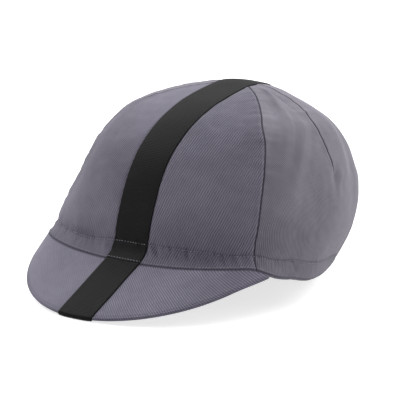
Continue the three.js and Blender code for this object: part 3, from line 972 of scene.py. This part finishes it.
def make_crown_tape(sides, sewing, material):
    """Tape from the front of the hem over the crown to the back, puckered where it is sewn."""
    stations = np.concatenate([
        np.array([0, 0.2, 0.45, 0.8, 1.3, 2.0, 2.8]) / 300, np.linspace(0.0125, 1, 330)])
    runs = zip(*(tape_run(side, stations, 0.1) for side in sides))
    angle, row, points, length = (np.stack(values) for values in runs)
    length = length[:, None]
    up = stations[None] * length
    normals = grid_normals(points)
    soft = fold_relief(angle, row, FOLDS) + SWELL * waves(points, 26, 60, 4) * slack(row)
    across = np.broadcast_to(sides[:, None], up.shape)
    hem = hem_relief(up, angle, sewing) * (up < length / 2)
    ends = rolled_edge(up, 1.0, 0.7) + rolled_edge(length - up, 0.8, 0.4)
    sewn = -0.1 * ridge(TAPE_WIDTH / 2 - np.abs(across) - 1.6, 0.4)
    top = soft + hem + TAPE_LIFT + tape_edges(across, 0.9, 0.5) + ends + sewn
    outer = points + normals * top[..., None]
    inner = points + normals * (soft + hem + ends - 0.25)[..., None]
    keep_above(0.05, outer, inner)
    # Painted light: the tape is lighter near the front of the hem and from the top of the crown to
    # the back
    tone = tape_painted_light(across) + 0.3 * (1 - smooth_step(up, 15, 70))
    tone = tone + 0.35 * smooth_step(up, 100, 150)
    crown = shell("tape_on_crown", outer, inner, across, up, tone, material)
    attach(crown, "root")
    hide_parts("crown_tape")


def make_brim_tape(sides, material):
    """Tape along the middle of the brim and round its edge."""
    along = np.concatenate([np.linspace(0, 0.94, 44), np.linspace(0.95, 1.02, 9)])
    points, normals = brim_face(front_angles(sides), along)
    top = 0.72 + tape_edges(sides[:, None], 0.9, 0.4)
    outer = points + normals * top[..., None]
    inner = points + normals * 0.12
    keep_above(0.05, outer, inner)
    across = np.broadcast_to(sides[:, None], outer.shape[:2])
    up = np.broadcast_to(-along[::-1] * BRIM_LENGTH, across.shape)
    # Painted shade: the tape on the brim is darker than the tape on the crown
    tone = tape_painted_light(across) - 0.3
    brim = shell("tape_on_brim", outer[:, ::-1], inner[:, ::-1], across, up, tone, material)
    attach(brim, "root")
    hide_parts("brim_tape")


class CAP_OT_tape(Operator):
    """Make the woven tape over the crown and on the brim"""

    bl_idname = "cap.tape"
    bl_label = "Tape"
    bl_options = {"REGISTER", "UNDO"}

    def execute(self, context):
        cloth, sewing = context.scene.cap_cloth, context.scene.cap_sewing
        material = woven_tape("tape_weave", cloth.tape_colour, cloth)
        sides = tape_sides()
        make_crown_tape(sides, sewing, material)
        make_brim_tape(sides, material)
        return {"FINISHED"}


def front_angles(sides):
    """Angles on the front of the hem at distances to the left."""
    ratio = np.clip(np.abs(sides) / HEM_HALF_WIDTH, 0, 1)
    return np.sign(sides) * np.degrees(np.arcsin(ratio ** (FRONT_ROUNDNESS_ACROSS / 2)))


def brim_length(angle):
    return BRIM_LENGTH * (1 - np.abs(angle / BRIM_CORNER_ANGLE) ** BRIM_EDGE_POWER)


def brim_frame(angle):
    """The brim's root by angle, and the directions along and out of its face there."""
    droop = np.radians(blend(BRIM_DROOP, BRIM_CORNER_DROOP, (angle / BRIM_CORNER_ANGLE) ** 2))
    run = np.stack([0 * droop, -np.cos(droop), -np.sin(droop)], -1)
    face = np.stack([0 * droop, -np.sin(droop), np.cos(droop)], -1)
    return crown_form(angle, 0.0) - np.array([0, 0, GAP]), run, face


def brim_face(angle, along):
    """Points and outward directions of the brim's face and round edge, by share of its length."""
    hem, run, face = brim_frame(angle[:, None])
    length = brim_length(angle[:, None])
    distance = along * length
    turn = np.clip((distance - (length - BRIM_ROUND)) / BRIM_ROUND, 0, 2.2)
    reach = np.minimum(distance, length - BRIM_ROUND) + BRIM_ROUND * np.sin(turn)
    sink = BRIM_ROUND * (1 - np.cos(turn))
    points = hem + run * reach[..., None] - face * sink[..., None]
    normals = run * np.sin(turn)[..., None] + face * np.cos(turn)[..., None]
    return points, normals


class CAP_OT_brim(Operator):
    """Make the brim with its folded edge"""

    bl_idname = "cap.brim"
    bl_label = "Brim"
    bl_options = {"REGISTER", "UNDO"}

    def execute(self, context):
        cloth, sewing = context.scene.cap_cloth, context.scene.cap_sewing
        # Painted light: the brim's twill is a lighter copy of the crown's twill
        colour = shade(cloth.twill_colour, 1.15)
        material = twill("brim_twill", colour, BRIM_RIBS, cloth, faint_side=True)
        widest = BRIM_CORNER_SHARE * BRIM_CORNER_ANGLE
        angle = widest * np.sin(np.linspace(-math.pi / 2, math.pi / 2, 241))
        length = brim_length(angle)[:, None]
        flat = np.linspace(0, 1, 70) * (length - BRIM_ROUND)
        hem, run, face = brim_frame(angle)
        points = hem[:, None] + run[:, None] * flat[..., None]
        normals = np.broadcast_to(face[:, None], points.shape)
        inset = length - flat
        groove = -0.28 * ridge(inset - BRIM_STITCH_INSET, 0.45)
        swell = 0.12 * waves(points, 14, 30, 51) * smooth_step(inset, 1, 8)
        scallop = 0.14 * ripple(around_hem(angle)[:, None], 4.0, 52) * np.exp(-inset / 1.6)
        top = points + normals * (groove + swell + scallop)[..., None]
        turns = np.linspace(0, math.pi, 12)[1:-1]
        centre = points[:, -1] - face * BRIM_ROUND
        arc = [centre + BRIM_ROUND * (run * math.sin(t) + face * math.cos(t)) for t in turns]
        under = points[:, ::-1] - normals[:, ::-1] * BRIM_THICKNESS
        rim = np.concatenate([top, np.stack(arc, 1), under], 1)
        tuck = inward(angle) * (PANEL_CLOTH + GAP + HEM_CLOTH + BRIM_THICKNESS * BRIM_IN)
        root, deep = points[:, 0] + tuck, under[:, -1] + tuck
        loop = np.concatenate([root[:, None], rim, deep[:, None]], 1)
        keep_above(0.0, loop)
        edge = np.zeros((len(angle), len(turns)))
        inset = np.concatenate([inset[:, :1], inset, edge, inset[:, ::-1], inset[:, :1]], 1)
        # Painted shade at the row of stitches, at the folded edge and at the root under the hem,
        # and painted light on the wearer's right side
        tone = -0.16 * ridge(inset - BRIM_STITCH_INSET, 0.5) - 0.3 * ridge(inset, 1.2)
        tone = tone - 1.3 * ridge(inset - length, 0.6)
        tone = tone + 0.12 * (1 - smooth_step(loop[..., 0], -25, 5))
        up = -ClothGrid.lengths(loop)
        obj = loop_solid("brim_cloth", loop[:, ::-1], up[:, ::-1], tone[:, ::-1], material)
        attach(obj, "root")
        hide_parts("brim")
        return {"FINISHED"}


def inward(angle):
    """Level directions from the hem to the inside."""
    outward = crown_normal(angle, 0.0)
    outward[..., 2] = 0
    return -unit(outward)


def loop_solid(name, loop, up, tone, material):
    """Closed solid from columns of points, each a closed outline, capped at both ends."""
    columns, rows = loop.shape[:2]
    corner = np.arange(columns * rows).reshape(columns, rows)
    closed = np.concatenate([corner, corner[:, :1]], 1)
    here, there = closed[:-1], closed[1:]
    sides = here[:, :-1], there[:, :-1], there[:, 1:], here[:, 1:]
    quads = np.stack([side.ravel() for side in sides], 1)
    caps = []
    for end, order in ((0, 1), (columns - 1, -1)):
        ring = corner[end]
        for k in range(rows // 2 - 1):
            quad = [ring[k], ring[k + 1], ring[rows - 2 - k], ring[rows - 1 - k]]
            caps.append(quad[::order])
    faces = np.concatenate([quads, np.array(caps)])
    cloth = np.stack([loop[..., 0].ravel()[faces], up.ravel()[faces]], -1) * MM
    return mesh_object(name, loop.reshape(-1, 3) * MM, faces, cloth, tone, material)


def along_line(places, reach, values):
    """Points or directions at places along a line, from those at its reach."""
    return np.stack([np.interp(places, reach, values[:, k]) for k in range(3)], -1)


def stitch_line(points, normals, sewing, lift):
    """Stitches along a line on the cloth: centres, directions and outward directions."""
    reach = ClothGrid.lengths(points[None])[0]
    step = sewing.stitch_step / MM
    places = np.arange(step * 0.6, reach[-1] - step * 0.4, step)
    centre = along_line(places, reach, points)
    ahead = along_line(places + 0.5, reach, points)
    outward = unit(along_line(places, reach, normals))
    return centre + outward * lift, unit(ahead - centre), outward


def stitches(name, line, sewing, material, seed):
    """One mesh of rounded stitches, each a bowed bead of thread."""
    centre, along, outward = line
    side = unit(np.cross(outward, along))
    rng = np.random.default_rng(seed)
    tilt = rng.normal(0, 0.07, len(centre))[:, None]
    along = unit(along + side * tilt)
    rings, sides = 7, 8
    run = np.linspace(-1, 1, rings)
    girth = np.sqrt(np.clip(1 - run ** 2 * 0.9, 0, 1)) * (sewing.thread_width / MM) / 2
    length = (sewing.stitch_length / MM) / 2 * rng.uniform(0.9, 1.06, len(centre))
    bow = 0.12 * (1 - run ** 2) - 0.08
    turn = np.linspace(0, 2 * math.pi, sides, endpoint=False)
    verts = []
    for k in range(rings):
        middle = centre + along * (run[k] * length)[:, None] + outward * bow[k]
        for t in turn:
            verts.append(middle + (side * math.cos(t) + outward * math.sin(t)) * girth[k])
    verts = np.stack(verts, 1)
    quads = []
    for k in range(rings - 1):
        for s in range(sides):
            a, b = k * sides + s, k * sides + (s + 1) % sides
            quads.append((a, b, b + sides, a + sides))
    for base, order in ((0, 1), ((rings - 1) * sides, -1)):
        for s in range(0, sides // 2 - 1):
            quad = [base + s, base + sides - 1 - s, base + sides - 2 - s, base + s + 1]
            quads.append(tuple(quad[::order]))
    quads = np.array(quads)
    per = rings * sides
    faces = (quads[None] + (np.arange(len(centre)) * per)[:, None, None]).reshape(-1, 4)
    across = np.broadcast_to((run * 1.2).repeat(sides), verts.shape[:2])
    up = np.broadcast_to(np.tile(turn * 0.2, rings), verts.shape[:2])
    cloth = np.stack([across.ravel()[faces], up.ravel()[faces]], -1) * MM
    tone = np.zeros(verts.shape[:2])
    return mesh_object(name, verts.reshape(-1, 3) * MM, faces, cloth, tone, material)


class CAP_OT_stitches(Operator):
    """Make the rows of stitches round the hem"""

    bl_idname = "cap.stitches"
    bl_label = "Hem Stitches"
    bl_options = {"REGISTER", "UNDO"}

    def execute(self, context):
        cloth, sewing = context.scene.cap_cloth, context.scene.cap_sewing
        material = thread("sewing_thread", cloth.thread_colour)
        jobs = (
            ("stitches_hem", stitch_row_at, 179.5, 61),
            ("stitches_edge", constant(EDGE_STITCH_ROW), EDGE_STITCH_ANGLE, 62),
        )
        for name, height_at, widest, seed in jobs:
            angle = np.linspace(-widest, widest, 1400)
            up = height_at(angle)
            row = hem_ring(angle, up[:, None])[:, 0]
            points, normals = crown_form(angle, row), crown_normal(angle, row)
            relief = soft_relief(points, angle, row) + hem_relief(up, angle, sewing)
            on_tape = np.abs(points[:, 0]) < TAPE_WIDTH / 2 - 0.4
            lift = np.where(on_tape, TAPE_LIFT, 0.0) + relief
            line = stitch_line(points + normals * lift[:, None], normals, sewing, 0.05)
            obj = stitches(name, line, sewing, material, seed)
            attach(obj, "root")
        return {"FINISHED"}


def direction(turn, lift):
    """Unit direction turned from the front to the wearer's left and lifted, both in radians."""
    return math.sin(turn) * math.cos(lift), -math.cos(turn) * math.cos(lift), math.sin(lift)


def make_camera():
    """Camera at the photo's angle: axes rolled to the photo's, aimed at the middle of its frame."""
    azimuth, elevation, roll = (math.radians(v) for v in (VIEW_AZIMUTH, VIEW_ELEVATION, VIEW_ROLL))
    back = Vector(direction(azimuth, elevation))
    right = Vector((math.cos(azimuth), math.sin(azimuth), 0))
    up = back.cross(right)
    rolled_right = right * math.cos(roll) + up * math.sin(roll)
    rolled_up = up * math.cos(roll) - right * math.sin(roll)
    centre = Vector((0, CENTRED, VIEW_TARGET_HEIGHT))
    half = IMAGE_SIDE / 2
    aim = centre - rolled_right * ((VIEW_CENTRE[0] - half) / PIXELS_PER_MM)
    aim = aim - rolled_up * ((half - VIEW_CENTRE[1]) / PIXELS_PER_MM)
    place = centre + back * VIEW_DISTANCE
    z = (place - aim).normalized()
    x = (rolled_right - z * rolled_right.dot(z)).normalized()
    y = z.cross(x)
    data = bpy.data.cameras.new("photo_camera")
    data.sensor_width = SENSOR_WIDTH
    data.lens = SENSOR_WIDTH * PIXELS_PER_MM * VIEW_DISTANCE / IMAGE_SIDE
    data.clip_start, data.clip_end = 0.05, 30
    camera = bpy.data.objects.new("photo_camera", data)
    camera.matrix_world = Matrix.Translation(place * MM) @ Matrix((x, y, z)).transposed().to_4x4()
    bpy.context.collection.objects.link(camera)
    bpy.context.scene.camera = camera


def sky_point(azimuth, elevation, distance):
    """Place round the cap, by azimuth to the right of the picture's back and elevation."""
    turn = math.radians(VIEW_AZIMUTH + 180 - azimuth)
    return Vector(direction(turn, math.radians(elevation))) * distance


def make_light(name, energy, size, place, aim):
    """A round softbox that faces a point."""
    data = bpy.data.lights.new(name, "AREA")
    data.energy = energy
    data.shape = "DISK"
    data.size = size
    light = bpy.data.objects.new(name, data)
    light.location = place
    light.rotation_euler = (aim - place).to_track_quat("-Z", "Y").to_euler()
    bpy.context.collection.objects.link(light)


class CAP_OT_stage(Operator):
    """Make the floor, the soft studio light and the camera"""

    bl_idname = "cap.stage"
    bl_label = "Studio"
    bl_options = {"REGISTER", "UNDO"}

    def execute(self, context):
        studio = context.scene.cap_studio
        surface = Surface("floor_paper")
        constants = {
            "Base Color": shade(studio.floor_colour, 1.0),
            "Roughness": 0.9,
            "Specular IOR Level": 0.1,
            "Emission Color": (1, 1, 1, 1),
            "Emission Strength": studio.floor_glow,
        }
        surface.output(surface.node("ShaderNodeBsdfPrincipled", {}, constants))
        sides = ((-1, -1), (1, -1), (1, 1), (-1, 1))
        corners = [(x * FLOOR_REACH, y * FLOOR_REACH, -FLOOR_DROP) for x, y in sides]
        floor = mesh_object("floor", corners, [(0, 1, 2, 3)], material=surface.material)
        world = bpy.data.worlds.new("studio_room")
        world.use_nodes = True
        background = world.node_tree.nodes["Background"]
        background.inputs["Color"].default_value = (1, 1, 1, 1)
        background.inputs["Strength"].default_value = studio.ambient
        context.scene.world = world
        aim = Vector((0, 0, VIEW_TARGET_HEIGHT * MM))
        for name, azimuth, elevation, distance, size in SOFTBOXES:
            place = sky_point(azimuth, elevation, distance)
            make_light(name, getattr(studio, name), size, place, aim)
        context.scene.view_settings.view_transform = "Standard"
        make_camera()
        return {"FINISHED"}


class CAP_PT_pieces(Panel):
    """The cap's pieces, materials and studio"""

    bl_idname = "CAP_PT_pieces"
    bl_label = "Soft Twill Cap"
    bl_space_type = "VIEW_3D"
    bl_region_type = "UI"
    bl_category = "Cap"

    def draw(self, context):
        layout = self.layout
        for operator in OPERATORS:
            layout.operator(operator.bl_idname)
        for group in (context.scene.cap_cloth, context.scene.cap_sewing, context.scene.cap_studio):
            box = layout.box()
            for key in group.__annotations__:
                box.prop(group, key)


OPERATORS = (CAP_OT_crown, CAP_OT_hem, CAP_OT_tape, CAP_OT_brim, CAP_OT_stitches, CAP_OT_stage)
GROUPS = (("cap_cloth", CapCloth), ("cap_sewing", CapSewing), ("cap_studio", CapStudio))


def register():
    for name, group in GROUPS:
        bpy.utils.register_class(group)
        setattr(bpy.types.Scene, name, PointerProperty(type=group))
    for cls in (*OPERATORS, CAP_PT_pieces):
        bpy.utils.register_class(cls)


def unregister():
    for cls in (CAP_PT_pieces, *reversed(OPERATORS)):
        bpy.utils.unregister_class(cls)
    for name, group in reversed(GROUPS):
        delattr(bpy.types.Scene, name)
        bpy.utils.unregister_class(group)


def main():
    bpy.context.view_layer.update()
    register()
    bpy.ops.cap.crown()
    bpy.ops.cap.hem()
    bpy.ops.cap.brim()
    bpy.ops.cap.tape()
    bpy.ops.cap.stitches()
    bpy.ops.cap.stage()


if __name__ == "__main__":
    main()
